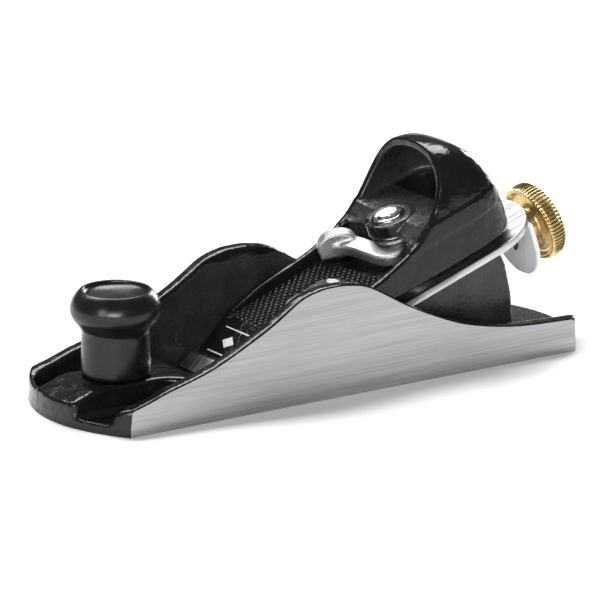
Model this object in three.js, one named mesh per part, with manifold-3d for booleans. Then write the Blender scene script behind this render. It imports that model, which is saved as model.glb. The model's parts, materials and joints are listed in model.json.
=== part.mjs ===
// A low-angle block plane, modelled in millimetres with +Z up. The origin is the centre of the
// sole's underside, the toe points to -X and the heel to +X.
import * as THREE from 'three';
import { mergeVertices } from 'three/addons/utils/BufferGeometryUtils.js';
import Module from 'manifold-3d';

const wasm = await Module();
wasm.setup();

// ---- Driving dimensions ----------------------------------------------------------------------
const GAP = 0.3; // running clearance between pieces that touch

// Body casting, in the plane's own frame
const WIDTH = 55; // across the ground cheeks
const CHEEK_THICKNESS = 5;
const INSIDE = WIDTH / 2 - CHEEK_THICKNESS; // half the room between the cheeks
const CORNER_X = 79; // where the straight sides meet the toe and heel arcs
const END_X = 89; // front of the toe arc, back of the heel arc
const SOLE_THICKNESS = 3.2;
const CHEEK_TOP = [[-66, 11.5], [-50, 15.8], [-31.6, 24.2], [-20.4, 31.2], [-9.1, 33.6], [5, 31.2],
  [19.4, 23], [34, 16.4], [52, 11.9], [CORNER_X, 10]];
const CHEEK_TOE_HEIGHT = 7.5;
const RIDGE_HALF_WIDTH = 10.2; // raised ridge that carries the front knob
const RIDGE_TOP = 10.3;
const RIDGE_FRONT_X = -79.5;
const RIDGE_TOE_HEIGHT = 6.2;
const RIDGE_REAR_X = -47;
const POCKET_FLOOR = 2.2; // floor of the two hollows beside the ridge
const POCKET_LIP = 1.8;
const MOUTH_FRONT_X = -37.8;
const MOUTH_REAR_X = -34.3;
const FROG_HALF_WIDTH = 13; // support web under the cutter
const FROG_TOP_X = 59.5;
const FROG_REAR_X = 66.3;

// The bed: every piece on it uses s (up the slope), y and h (height above the cutter's underside)
const BED_ANGLE = THREE.MathUtils.degToRad(19);
const BED_X = -36.25; // where the cutter's underside would cut the sole's plane

// Cutter
const CUTTER_HALF_WIDTH = 20.65; // a 1-5/8 inch cutter
const CUTTER_THICKNESS = 2.2;
const EDGE_S = 5.6; // the edge rests drawn back inside the mouth
const BEVEL_ANGLE = THREE.MathUtils.degToRad(25);
const CUTTER_ROUND_S = 98; // centre of the round rear end

// Lever cap and cam lever
const CAP_BOTTOM = CUTTER_THICKNESS + GAP;
const SKIRT_BOTTOM = 4.4;
const NOSE_S = 10.9;
const TONGUE_FRONT_S = 23.5;
const TONGUE_TOP = 8;
const TONGUE_REAR_S = 62;
const CAP_HALF_WIDTH = 21.6;
const NOSE_HALF_WIDTH = 19.5;
const CAP_WALL = 2.7;
const HOOD_TOP = 38.2;
const HOOD_SPRING = 17; // where the hood's arch springs from its straight sides
const HOOD_ROUND_S = 91.4; // centre of the hood's round back
const RIM = [[26, 9.3], [31, 10.3], [39, 11.2], [55, 12.1], [65, 14], [71.8, 16], [78, 20], [82.5, 24],
  [86, 28], [88.5, 32], [90.7, 36], [91.2, HOOD_TOP]];
const HOOD_BACK = [[95, 36.4], [100, 31.6], [104, 26.5], [107.4, 21], [110.4, 15], [112.4, 9.5], [113, 5.5]];
const HOOD_BACK_INSIDE = [[92.4, 34], [97.4, 29.2], [101.3, 24.3], [104.5, 19.1], [107.4, 13.2],
  [109.6, 7.5], [110.2, 0]];
const SHELF_BOTTOM = 15.2;
const SHELF_TOP = 19;
const SHELF_FRONT_S = 74;
const WEB_INSIDE = 14.2; // webs under the shelf stand outside the cam lever's sweep
const WEB_THICKNESS = 3.5;
const BOSS_TOP = 19.6; // the round boss stands just above the shelf
const PIVOT_S = 76.5; // cam lever rivet
const BOSS_RADIUS = 7.5;
const HUB_RADIUS = 6.3;
const HUB_TOP = 13.8;
const ARM_BOTTOM = 9.2;
const LOBE = { s: 63.6, y: 12, width: 12, thickness: 5, bottom: 9.9, top: 17.6 }; // thumb paddle
const LOBE_ANGLE = THREE.MathUtils.degToRad(-32); // how its face is turned from the slope
const LOBE_SPRING = 14; // where its rounded top starts
const ELBOW = { s: 69.3, y: -6.8, radius: 3.6 };
const ARM_WIDTH = 6;
const RIVET_RADIUS = 2.3;
const RIVET_FOOT_RADIUS = 4.2;
const RIVET_FOOT_TOP = 4.1;
const RIVET_HEAD_RADIUS = 4.6;

// Lever cap screw and its keyhole
const SCREW_S = 48.5;
const SCREW_RADIUS = 3;
const SCREW_HEAD_RADIUS = 6;
const SCREW_HEAD_TOP = 9.8;
const SEAT = 6; // floor of the recess for the screw head
const KEYHOLE_TRAVEL = 6.5;

// Cutter adjustment
const FEED_H = -7.5; // height of the adjusting screw's axis
const FEED_RADIUS = 2.8;
const FEED_FRONT_S = 86;
const FEED_REAR_S = 128;
const LEVER_PIVOT_S = 74;
const LEVER_THICKNESS = 1.6;
const TAB_S = 115;
const TAB_HALF_WIDTH = 11.5;
const TAB_BOTTOM = -21;
const CHANNEL_HALF_WIDTH = 8;
const CHANNEL_FLOOR = -14;
const LUG_S = 95.1;
const LUG_LENGTH = 1.2;
const GROOVE_PITCH = 3.2;
const GROOVE_DEPTH = 1.2;
const WHEEL_RADIUS = 12.3;
const WHEEL_FRONT_S = 121.5;

// Front knob
const KNOB_X = -66.4;
const KNOB_BASE = RIDGE_TOP + GAP;
const KNOB_BORE_DEPTH = 14;
const STUD_RADIUS = 3;
const STUD_BOTTOM = 4.4;

// ---- Materials -------------------------------------------------------------------------------
const material = (color, roughness, metalness) =>
  new THREE.MeshStandardMaterial({ color, roughness, metalness });
const blackEnamel = () => material(0x141516, 0.25, 0);
const blackPlastic = () => material(0x101113, 0.18, 0);
const groundSteel = () => material(0x9aa0a3, 0.35, 1);
const brightSteel = () => material(0xc9cccf, 0.2, 1);
const roughNickel = () => material(0x8d8f90, 0.5, 1);
const brass = () => material(0xd6ad55, 0.28, 1);

// ---- Geometry helpers ------------------------------------------------------------------------
function toSolid(geometry) {
  const bare = geometry.clone();
  bare.deleteAttribute('normal');
  bare.deleteAttribute('uv');
  const merged = mergeVertices(bare, 1e-4);
  return new wasm.Manifold(new wasm.Mesh({
    numProp: 3,
    vertProperties: new Float32Array(merged.attributes.position.array),
    triVerts: new Uint32Array(merged.index.array),
  }));
}

function toGeometry(solid) {
  const mesh = solid.getMesh();
  const geometry = new THREE.BufferGeometry();
  geometry.setAttribute('position', new THREE.BufferAttribute(new Float32Array(mesh.vertProperties), 3));
  geometry.setIndex(new THREE.BufferAttribute(new Uint32Array(mesh.triVerts), 1));
  geometry.computeVertexNormals();
  return geometry;
}

const join = (...solids) => solids.reduce((whole, solid) => whole.add(solid));
const cut = (base, ...tools) => tools.reduce((whole, tool) => whole.subtract(tool), base);

function extrude(shape, depth, segments) {
  return new THREE.ExtrudeGeometry(shape, { depth, bevelEnabled: false, curveSegments: segments });
}

// A plan outline (x, y) raised from one height to another
function fromPlan(shape, bottom, top, segments = 10) {
  return toSolid(extrude(shape, top - bottom, segments).translate(0, 0, bottom));
}

// A side outline (x, z) made as wide as y runs from one value to the other
function fromSide(shape, left, right, segments = 4) {
  const geometry = extrude(shape, right - left, segments).rotateX(Math.PI / 2);
  return toSolid(geometry.translate(0, right, 0));
}

// A front outline (y, z) stretched from one x to another
function fromFront(shape, start, end, segments = 16) {
  const geometry = extrude(shape, end - start, segments).rotateX(Math.PI / 2).rotateZ(Math.PI / 2);
  return toSolid(geometry.translate(start, 0, 0));
}

function block(xs, ys, zs) {
  const geometry = new THREE.BoxGeometry(xs[1] - xs[0], ys[1] - ys[0], zs[1] - zs[0]);
  geometry.translate((xs[0] + xs[1]) / 2, (ys[0] + ys[1]) / 2, (zs[0] + zs[1]) / 2);
  return toSolid(geometry);
}

// An upright cylinder
function post(x, y, radius, bottom, top, sides = 32) {
  const geometry = new THREE.CylinderGeometry(radius, radius, top - bottom, sides);
  geometry.rotateX(Math.PI / 2).translate(x, y, (bottom + top) / 2);
  return toSolid(geometry);
}

// A cylinder along x at a given height
function rod(radius, start, end, z, sides = 24) {
  const geometry = new THREE.CylinderGeometry(radius, radius, end - start, sides);
  return toSolid(geometry.rotateZ(Math.PI / 2).translate((start + end) / 2, 0, z));
}

// A round-ended slot along x
function slot(xs, y, radius, bottom, top) {
  const ends = [post(xs[0], y, radius, bottom, top), post(xs[1], y, radius, bottom, top)];
  return join(...ends, block(xs, [y - radius, y + radius], [bottom, top]));
}

// Outline points (radius, height) turned about the upright axis
function turned(points, sides = 40) {
  const profile = points.map(([radius, height]) => new THREE.Vector2(radius, height));
  return new THREE.LatheGeometry(profile, sides).rotateX(Math.PI / 2);
}

function polygon(points) {
  return new THREE.Shape(points.map(([x, y]) => new THREE.Vector2(x, y)));
}

function splineTo(shape, points) {
  shape.splineThru(points.map(([x, y]) => new THREE.Vector2(x, y)));
  return shape;
}

const bedFrame = new THREE.Matrix4().makeRotationY(-BED_ANGLE).setPosition(BED_X, 0, 0);
const onBed = (solid) => toSolid(toGeometry(solid).applyMatrix4(bedFrame));

// Height of the bed's surface above the sole's plane
const bedHeight = (x) => (x - BED_X) * Math.tan(BED_ANGLE) - GAP / Math.cos(BED_ANGLE);

// ---- Scene graph -----------------------------------------------------------------------------
const plane = new THREE.Group();
const bed = new THREE.Group();
bed.position.set(BED_X, 0, 0);
bed.rotation.y = -BED_ANGLE;
plane.add(bed);

function addPiece(parent, name, geometry, look) {
  const mesh = new THREE.Mesh(geometry, look);
  mesh.name = name;
  parent.add(mesh);
  return mesh;
}

// ---- Body casting ----------------------------------------------------------------------------
function soleOutline() {
  const half = WIDTH / 2;
  const bulge = END_X - CORNER_X;
  const radius = (half * half + bulge * bulge) / (2 * bulge);
  const angle = Math.asin(half / radius);
  const shape = new THREE.Shape();
  shape.absarc(END_X - radius, 0, radius, -angle, angle, false);
  shape.absarc(radius - END_X, 0, radius, Math.PI - angle, Math.PI + angle, false);
  return shape;
}

function cheekOutline() {
  const shape = new THREE.Shape();
  shape.moveTo(CORNER_X, 0);
  shape.lineTo(-CORNER_X, 0);
  shape.lineTo(-CORNER_X, CHEEK_TOE_HEIGHT);
  return splineTo(shape, CHEEK_TOP);
}

// The ridge under the knob, from the toe's front edge to the slope down to the mouth
function toeRidge() {
  const side = polygon([[-END_X - 1, 0], [-END_X - 1, RIDGE_TOE_HEIGHT - 0.4], [RIDGE_FRONT_X, RIDGE_TOP],
    [RIDGE_REAR_X, RIDGE_TOP], [RIDGE_REAR_X + 6, SOLE_THICKNESS], [RIDGE_REAR_X + 6, 0]]);
  const plan = new THREE.Shape();
  plan.moveTo(-END_X - 1, -RIDGE_HALF_WIDTH);
  plan.lineTo(-58, -RIDGE_HALF_WIDTH);
  plan.quadraticCurveTo(-50, -RIDGE_HALF_WIDTH, -48, -INSIDE - 1);
  plan.lineTo(RIDGE_REAR_X + 7, -INSIDE - 1);
  plan.lineTo(RIDGE_REAR_X + 7, INSIDE + 1);
  plan.lineTo(-48, INSIDE + 1);
  plan.quadraticCurveTo(-50, RIDGE_HALF_WIDTH, -58, RIDGE_HALF_WIDTH);
  plan.lineTo(-END_X - 1, RIDGE_HALF_WIDTH);
  const ridge = fromSide(side, -INSIDE - 1, INSIDE + 1).intersect(fromPlan(plan, -1, 20, 6));
  return ridge.intersect(fromPlan(soleOutline(), -1, 20, 12));
}

// The hollow on one side of the ridge, sunk a little into the sole behind a narrow lip
function toePocket(side) {
  const inner = side * (RIDGE_HALF_WIDTH + 1);
  const outer = side * (INSIDE - 0.5);
  const shape = new THREE.Shape();
  shape.moveTo(1 + POCKET_LIP - END_X, inner);
  shape.lineTo(2 * POCKET_LIP - CORNER_X - 5, outer);
  shape.lineTo(-58, outer);
  shape.quadraticCurveTo(-56, inner, -62, inner);
  return fromPlan(shape, POCKET_FLOOR, 20, 6);
}

function frog() {
  const bedLedge = polygon([[MOUTH_REAR_X, 0], [-5, 0], [-5, bedHeight(-5)],
    [MOUTH_REAR_X, bedHeight(MOUTH_REAR_X)]]);
  const web = new THREE.Shape();
  web.moveTo(-6, 0);
  web.lineTo(-6, bedHeight(-6));
  web.lineTo(FROG_TOP_X, bedHeight(FROG_TOP_X));
  web.quadraticCurveTo(FROG_REAR_X, 0.5 * bedHeight(FROG_TOP_X), FROG_REAR_X, 0);
  return join(fromSide(bedLedge, -INSIDE - 1, INSIDE + 1),
    fromSide(web, -FROG_HALF_WIDTH, FROG_HALF_WIDTH, 10));
}

// On the far side the rim runs on round the toe, as high as the ridge's front edge
const farRim = () => fromPlan(soleOutline(), 0, RIDGE_TOE_HEIGHT, 12)
  .intersect(block([-END_X, RIDGE_FRONT_X + 3], [RIDGE_HALF_WIDTH - 1, INSIDE + 1], [0, 20]));

function bodyCasting() {
  const cheeks = [[-WIDTH / 2, -INSIDE], [INSIDE, WIDTH / 2]].map(
    ([left, right]) => fromSide(cheekOutline(), left, right, 4));
  const casting = join(fromPlan(soleOutline(), 0, SOLE_THICKNESS, 12), ...cheeks, toeRidge(), farRim(),
    frog());
  const throat = polygon([[MOUTH_FRONT_X, -1], [MOUTH_REAR_X, -1],
    [MOUTH_REAR_X, bedHeight(MOUTH_REAR_X)], [-20, bedHeight(-20)], [-20, 9], [MOUTH_FRONT_X, 9]]);
  const leverRoom = block([LEVER_PIVOT_S - 8, 84], [-CHANNEL_HALF_WIDTH, CHANNEL_HALF_WIDTH],
    [-GAP - LEVER_THICKNESS - GAP, 2]);
  const feedRoom = block([83, 112], [-CHANNEL_HALF_WIDTH, CHANNEL_HALF_WIDTH], [CHANNEL_FLOOR, 2]);
  return cut(casting,
    fromSide(throat, -INSIDE + 0.3, INSIDE - 0.3),
    toePocket(-1), toePocket(1),
    post(KNOB_X, 0, STUD_RADIUS + GAP, STUD_BOTTOM - 0.4, 20, 24),
    onBed(leverRoom), onBed(feedRoom),
    onBed(post(SCREW_S, 0, SCREW_RADIUS + GAP, -11, 2, 24)),
    onBed(post(LEVER_PIVOT_S, 0, RIVET_RADIUS, -12, 2, 24)));
}
addPiece(plane, 'body_casting', toGeometry(bodyCasting()), blackEnamel());

// ---- Front knob ------------------------------------------------------------------------------
function frontKnob() {
  const bore = STUD_RADIUS + GAP;
  const foot = [[bore, 0], [9.8, 0], [10.3, 1]];
  const neck = [[10.25, 4], [10.1, 9], [10, 12.6], [10.3, 13.8], [11.3, 15.4], [12.5, 17]];
  const bulge = [[13.15, 18.5], [13.3, 19.8], [13.15, 21.2], [12.5, 22.9], [11.5, 24.4]];
  const dish = [[10.5, 25.5], [9.7, 25.5], [8.4, 24.1], [5, 23.4], [0, 23.1]];
  const socket = [[0, KNOB_BORE_DEPTH], [bore, KNOB_BORE_DEPTH], [bore, 0]];
  return turned([...foot, ...neck, ...bulge, ...dish, ...socket]).translate(KNOB_X, 0, KNOB_BASE);
}
addPiece(plane, 'front_knob', frontKnob(), blackPlastic());
function knobStud() {
  return toGeometry(post(KNOB_X, 0, STUD_RADIUS, STUD_BOTTOM, KNOB_BASE + KNOB_BORE_DEPTH - 0.4, 24));
}
addPiece(plane, 'knob_stud', knobStud(), brightSteel());

// ---- Cutter ----------------------------------------------------------------------------------
function cutter() {
  const side = polygon([[EDGE_S, 0], [130, 0], [130, CUTTER_THICKNESS],
    [EDGE_S + CUTTER_THICKNESS / Math.tan(BEVEL_ANGLE), CUTTER_THICKNESS]]);
  const plan = new THREE.Shape();
  plan.moveTo(0, -CUTTER_HALF_WIDTH);
  plan.lineTo(CUTTER_ROUND_S, -CUTTER_HALF_WIDTH);
  plan.absarc(CUTTER_ROUND_S, 0, CUTTER_HALF_WIDTH, -Math.PI / 2, Math.PI / 2, false);
  plan.lineTo(0, CUTTER_HALF_WIDTH);
  const blade = fromSide(side, -CUTTER_HALF_WIDTH, CUTTER_HALF_WIDTH).intersect(fromPlan(plan, -1, 4, 14));
  const grooves = [-3, -2, -1, 0, 1, 2, 3].map((step) => {
    const s = LUG_S + step * GROOVE_PITCH;
    const half = LUG_LENGTH / 2 + GAP;
    return block([s - half, s + half], [-9, 9], [-1, GROOVE_DEPTH]);
  });
  return cut(blade, slot([34, 62], 0, SCREW_RADIUS + 1.5, -1, 4),
    post(66, 0, SCREW_HEAD_RADIUS + 0.6, -1, 4), ...grooves);
}
addPiece(bed, 'cutter', toGeometry(cutter()), groundSteel());

// ---- Lever cap -------------------------------------------------------------------------------
function archOutline(halfWidth, top) {
  const shape = new THREE.Shape();
  shape.moveTo(halfWidth, 0);
  shape.lineTo(halfWidth, HOOD_SPRING);
  shape.absellipse(0, HOOD_SPRING, halfWidth, top - HOOD_SPRING, 0, Math.PI, false, 0);
  shape.lineTo(-halfWidth, 0);
  return shape;
}

function capPlan(halfWidth, noseHalfWidth) {
  const shape = new THREE.Shape();
  shape.moveTo(0, -noseHalfWidth);
  shape.lineTo(26, -noseHalfWidth);
  shape.lineTo(44, -halfWidth);
  shape.absarc(HOOD_ROUND_S, 0, halfWidth, -Math.PI / 2, Math.PI / 2, false);
  shape.lineTo(44, halfWidth);
  shape.lineTo(26, noseHalfWidth);
  shape.lineTo(0, noseHalfWidth);
  return shape;
}

function capOutside() {
  const side = new THREE.Shape();
  side.moveTo(NOSE_S, CAP_BOTTOM);
  side.lineTo(TONGUE_FRONT_S, TONGUE_TOP);
  splineTo(side, RIM);
  splineTo(side, HOOD_BACK);
  side.lineTo(104, SKIRT_BOTTOM);
  side.lineTo(26, SKIRT_BOTTOM);
  side.lineTo(22, CAP_BOTTOM);
  return fromSide(side, -CAP_HALF_WIDTH, CAP_HALF_WIDTH, 3)
    .intersect(fromFront(archOutline(CAP_HALF_WIDTH, HOOD_TOP), 0, 130, 9))
    .intersect(fromPlan(capPlan(CAP_HALF_WIDTH, NOSE_HALF_WIDTH), 0, 50));
}

function capHollow() {
  const side = new THREE.Shape();
  side.moveTo(TONGUE_FRONT_S, TONGUE_TOP);
  side.lineTo(TONGUE_FRONT_S, 50);
  side.lineTo(86, 50);
  side.lineTo(89, HOOD_TOP - CAP_WALL);
  splineTo(side, HOOD_BACK_INSIDE);
  side.lineTo(TONGUE_REAR_S, 0);
  side.lineTo(TONGUE_REAR_S, TONGUE_TOP);
  const halfWidth = CAP_HALF_WIDTH - CAP_WALL;
  return fromSide(side, -CAP_HALF_WIDTH, CAP_HALF_WIDTH, 3)
    .intersect(fromFront(archOutline(halfWidth, HOOD_TOP - CAP_WALL), 0, 130, 9))
    .intersect(fromPlan(capPlan(halfWidth, NOSE_HALF_WIDTH - CAP_WALL), -1, 50));
}

function leverCap() {
  const outside = capOutside();
  const across = [-CAP_HALF_WIDTH, CAP_HALF_WIDTH];
  const shelf = block([SHELF_FRONT_S, 120], across, [SHELF_BOTTOM, SHELF_TOP]);
  const webs = [[-CAP_HALF_WIDTH, -WEB_INSIDE], [WEB_INSIDE, CAP_HALF_WIDTH]].map((ys) => block(
    [SHELF_FRONT_S + 0.5, SHELF_FRONT_S + 0.5 + WEB_THICKNESS], ys, [SKIRT_BOTTOM, SHELF_TOP - 1]));
  const shell = join(cut(outside, capHollow()), join(shelf, ...webs).intersect(outside),
    post(PIVOT_S, 0, BOSS_RADIUS, SHELF_BOTTOM, BOSS_TOP));
  const keyholeS = SCREW_S - KEYHOLE_TRAVEL;
  const headRoom = SCREW_HEAD_RADIUS + 0.4;
  return cut(shell,
    slot([keyholeS, SCREW_S], 0, SCREW_RADIUS + 0.5, 0, 20),
    slot([keyholeS, SCREW_S], 0, headRoom, SEAT, 20),
    post(keyholeS, 0, headRoom, 0, 20),
    post(PIVOT_S, 0, RIVET_RADIUS + GAP, 10, 25, 24),
    post(PIVOT_S, 0, RIVET_HEAD_RADIUS + 0.4, SHELF_TOP - 0.6, 25));
}
addPiece(bed, 'lever_cap', toGeometry(leverCap()), blackEnamel());

// ---- Cam lever and its rivet -----------------------------------------------------------------
function camBar(from, to, width) {
  const bar = new THREE.BoxGeometry(Math.hypot(to.s - from.s, to.y - from.y), width, HUB_TOP - ARM_BOTTOM);
  bar.rotateZ(Math.atan2(to.y - from.y, to.s - from.s));
  bar.translate((from.s + to.s) / 2, (from.y + to.y) / 2, (HUB_TOP + ARM_BOTTOM) / 2);
  return toSolid(bar);
}

function camLobe() {
  const half = LOBE.width / 2;
  const face = new THREE.Shape();
  face.moveTo(-half, LOBE.bottom);
  face.lineTo(half, LOBE.bottom);
  face.lineTo(half, LOBE_SPRING);
  face.absellipse(0, LOBE_SPRING, half, LOBE.top - LOBE_SPRING, 0, Math.PI, false, 0);
  const paddle = extrude(face, LOBE.thickness, 10).translate(0, 0, -LOBE.thickness / 2);
  return toSolid(paddle.rotateX(Math.PI / 2).rotateZ(LOBE_ANGLE).translate(LOBE.s, LOBE.y, 0));
}

function camLever() {
  const lever = join(post(PIVOT_S, 0, HUB_RADIUS, CAP_BOTTOM, HUB_TOP),
    post(ELBOW.s, ELBOW.y, ELBOW.radius, ARM_BOTTOM, HUB_TOP, 24),
    camBar({ s: PIVOT_S, y: 0 }, ELBOW, 2 * ELBOW.radius), camBar(ELBOW, LOBE, ARM_WIDTH), camLobe());
  return cut(lever, post(PIVOT_S, 0, RIVET_RADIUS + GAP, 0, 20, 24),
    post(PIVOT_S, 0, RIVET_FOOT_RADIUS + GAP, 0, RIVET_FOOT_TOP + GAP, 24));
}
addPiece(bed, 'cam_lever', toGeometry(camLever()), roughNickel());

function camRivet() {
  const foot = [[0, 3], [RIVET_FOOT_RADIUS, 3], [RIVET_FOOT_RADIUS, RIVET_FOOT_TOP]];
  const shank = [[RIVET_RADIUS, RIVET_FOOT_TOP], [RIVET_RADIUS, 18.7]];
  const head = [[RIVET_HEAD_RADIUS, 18.7], [RIVET_HEAD_RADIUS, 19.6], [3.9, 19.9], [1.8, 19.4], [0, 19.2]];
  return turned([...foot, ...shank, ...head], 32).translate(PIVOT_S, 0, 0);
}
addPiece(bed, 'cam_rivet', camRivet(), brightSteel());

function camWasher() {
  const inner = RIVET_RADIUS + GAP;
  const profile = [[inner, 14.1], [5.6, 14.1], [5.6, 14.9], [inner, 14.9], [inner, 14.1]];
  return turned(profile, 32).translate(PIVOT_S, 0, 0);
}
addPiece(bed, 'cam_washer', camWasher(), brightSteel());

// ---- Lever cap screw -------------------------------------------------------------------------
function leverCapScrew() {
  const head = SEAT + GAP;
  const profile = [[0, -10], [SCREW_RADIUS, -10], [SCREW_RADIUS, head], [SCREW_HEAD_RADIUS, head],
    [SCREW_HEAD_RADIUS, SCREW_HEAD_TOP - 1], [SCREW_HEAD_RADIUS - 0.8, SCREW_HEAD_TOP], [0, SCREW_HEAD_TOP]];
  const screw = toSolid(turned(profile, 32).translate(SCREW_S, 0, 0));
  return cut(screw, block([SCREW_S - 0.7, SCREW_S + 0.7], [-7, 7], [SCREW_HEAD_TOP - 1.2, 20]));
}
addPiece(bed, 'lever_cap_screw', toGeometry(leverCapScrew()), brightSteel());

// ---- Cutter adjustment -----------------------------------------------------------------------
// A bent sheet: the plate lies in the frog's channel, the tab hangs down behind it
function lateralLever() {
  const top = -GAP;
  const bottom = top - LEVER_THICKNESS;
  const plate = new THREE.Shape();
  plate.absarc(LEVER_PIVOT_S, 0, 6, Math.PI / 2, 1.5 * Math.PI, false);
  plate.lineTo(100, -5.2);
  plate.bezierCurveTo(106, -5.2, 108, -TAB_HALF_WIDTH, TAB_S + LEVER_THICKNESS, -TAB_HALF_WIDTH);
  plate.lineTo(TAB_S + LEVER_THICKNESS, TAB_HALF_WIDTH);
  plate.bezierCurveTo(108, TAB_HALF_WIDTH, 106, 5.2, 100, 5.2);
  const tab = new THREE.Shape();
  tab.moveTo(-TAB_HALF_WIDTH, top);
  tab.lineTo(-TAB_HALF_WIDTH, -9);
  tab.bezierCurveTo(-TAB_HALF_WIDTH, -16, -6, TAB_BOTTOM, 0, TAB_BOTTOM);
  tab.bezierCurveTo(6, TAB_BOTTOM, TAB_HALF_WIDTH, -16, TAB_HALF_WIDTH, -9);
  tab.lineTo(TAB_HALF_WIDTH, top);
  const sheet = join(fromPlan(plate, bottom, top, 8), fromFront(tab, TAB_S, TAB_S + LEVER_THICKNESS, 8));
  return cut(sheet,
    post(LEVER_PIVOT_S, 0, 2 + GAP, -5, 5, 24),
    block([87.6, 98.6], [-2.6, 2.6], [-5, 5]),
    rod(FEED_RADIUS + GAP, TAB_S - 2, TAB_S + 4, FEED_H));
}
addPiece(bed, 'lateral_lever', toGeometry(lateralLever()), brightSteel());
addPiece(bed, 'lateral_pivot', toGeometry(post(LEVER_PIVOT_S, 0, 2, -11, -GAP - 0.1, 24)), brightSteel());

// The nut that rides on the adjusting screw, with a lug up into one of the cutter's grooves
function adjustingSlide() {
  const nut = block([91, 99], [-4.6, 4.6], [-12.3, -GAP - LEVER_THICKNESS - GAP]);
  const lug = block([LUG_S - LUG_LENGTH / 2, LUG_S + LUG_LENGTH / 2], [-2, 2], [-3, GROOVE_DEPTH - GAP]);
  return cut(join(nut, lug), rod(FEED_RADIUS + GAP, 90, 100, FEED_H));
}
addPiece(bed, 'adjusting_slide', toGeometry(adjustingSlide()), roughNickel());

// A turned outline (radius, s) laid along the adjusting screw's axis
function onFeedAxis(profile, sides) {
  return turned(profile, sides).rotateY(Math.PI / 2).translate(0, 0, FEED_H);
}

function adjustingScrew() {
  const groove = TAB_S - 1.7;
  const tip = FEED_RADIUS - 0.5;
  return onFeedAxis([[0, FEED_FRONT_S], [tip, FEED_FRONT_S], [FEED_RADIUS, FEED_FRONT_S + 0.6],
    [FEED_RADIUS, groove], [2.2, groove], [2.2, groove + 1.4], [FEED_RADIUS, groove + 1.4],
    [FEED_RADIUS, FEED_REAR_S - 0.4], [tip, FEED_REAR_S], [0, FEED_REAR_S]], 28);
}
addPiece(bed, 'adjusting_screw', adjustingScrew(), brightSteel());

// A spring clip in the screw's groove, in front of the tab
function screwClip() {
  const front = TAB_S - 1.4;
  const rear = front + 0.8;
  const ring = onFeedAxis([[2.5, front], [4.8, front], [4.8, rear], [2.5, rear], [2.5, front]], 28);
  return cut(toSolid(ring), block([front - 1, rear + 1], [-1.6, 1.6], [FEED_H - 8, FEED_H]));
}
addPiece(bed, 'screw_clip', toGeometry(screwClip()), brightSteel());

// Dished towards the cutter, with a hub that bears on the lever's tab
function adjustingWheel() {
  const bore = FEED_RADIUS + GAP;
  const front = WHEEL_FRONT_S;
  const hub = TAB_S + LEVER_THICKNESS + GAP;
  return onFeedAxis([[bore, hub], [4.6, hub], [5.2, front + 0.8], [7, front + 1.6], [9.6, front + 1.3],
    [10.7, front], [11.6, front], [WHEEL_RADIUS, front + 1], [WHEEL_RADIUS, front + 4],
    [11.6, front + 5.2], [9.5, front + 5.7], [bore, front + 5.7], [bore, hub]], 48);
}
addPiece(bed, 'adjusting_wheel', adjustingWheel(), brass());

export default plane;
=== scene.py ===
import json
import math
from itertools import product

import bmesh
import bpy
import numpy as np
from mathutils import Matrix, Vector


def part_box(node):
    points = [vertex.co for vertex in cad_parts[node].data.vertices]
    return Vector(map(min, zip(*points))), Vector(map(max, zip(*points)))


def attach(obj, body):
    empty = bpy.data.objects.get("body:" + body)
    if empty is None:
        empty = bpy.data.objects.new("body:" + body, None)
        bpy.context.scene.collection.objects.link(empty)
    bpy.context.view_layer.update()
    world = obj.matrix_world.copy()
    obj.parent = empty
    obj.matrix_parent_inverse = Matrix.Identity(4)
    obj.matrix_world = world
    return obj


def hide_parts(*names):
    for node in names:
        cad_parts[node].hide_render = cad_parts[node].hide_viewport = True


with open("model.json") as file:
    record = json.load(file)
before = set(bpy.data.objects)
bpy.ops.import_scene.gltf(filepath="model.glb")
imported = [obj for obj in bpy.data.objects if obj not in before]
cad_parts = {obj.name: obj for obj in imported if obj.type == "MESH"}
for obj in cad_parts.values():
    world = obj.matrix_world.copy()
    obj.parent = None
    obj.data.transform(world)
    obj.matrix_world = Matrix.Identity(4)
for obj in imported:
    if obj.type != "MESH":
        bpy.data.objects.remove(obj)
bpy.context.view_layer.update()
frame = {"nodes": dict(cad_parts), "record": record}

MM = 0.001
RECORD = frame["record"]
JOINTS = {joint["name"]: joint for joint in RECORD["behaviour"]["joints"]}


# ---- Places, in millimetres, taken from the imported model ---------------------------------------
def low(node):
    return Vector(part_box(node)[0]) / MM


def high(node):
    return Vector(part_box(node)[1]) / MM


def middle(node):
    return (low(node) + high(node)) / 2


HALF = high("body_casting").y              # ground cheeks
END = high("body_casting").x               # heel arc
INSIDE = HALF - 5.0
SOLE = 3.2

# The bed's frame: s up the slope, y across, h above the cutter's underside
UP_SLOPE = Vector(JOINTS["depth_feed"]["axis"])
NORMAL = Vector(JOINTS["cap_screw_turn"]["axis"])
LEVER_PIVOT = 74.0
BED = Vector(JOINTS["lateral_swing"]["pos_m"]) / MM - LEVER_PIVOT * UP_SLOPE + 1.1 * NORMAL
COS = UP_SLOPE.x
SIN = UP_SLOPE.z


def on_bed(point):
    """The (s, y, h) of a point given in the plane's frame."""
    away = Vector(point) - BED
    return Vector((away.dot(UP_SLOPE), away.y, away.dot(NORMAL)))


def bed_matrix():
    rotation = Matrix((
        (UP_SLOPE.x, 0, NORMAL.x, BED.x),
        (0, 1, 0, BED.y),
        (UP_SLOPE.z, 0, NORMAL.z, BED.z),
        (0, 0, 0, 1),
    ))
    return Matrix.Scale(MM, 4) @ rotation


BED_TO_ROW = bed_matrix()
PLANE_TO_ROW = Matrix.Scale(MM, 4)

PIVOT = on_bed(Vector(JOINTS["cam_swing"]["pos_m"]) / MM).x
SCREW = on_bed(Vector(JOINTS["cap_screw_turn"]["pos_m"]) / MM).x
FEED_H = on_bed(Vector(JOINTS["wheel_spin"]["pos_m"]) / MM).z
KNOB_X = middle("front_knob").x


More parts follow.
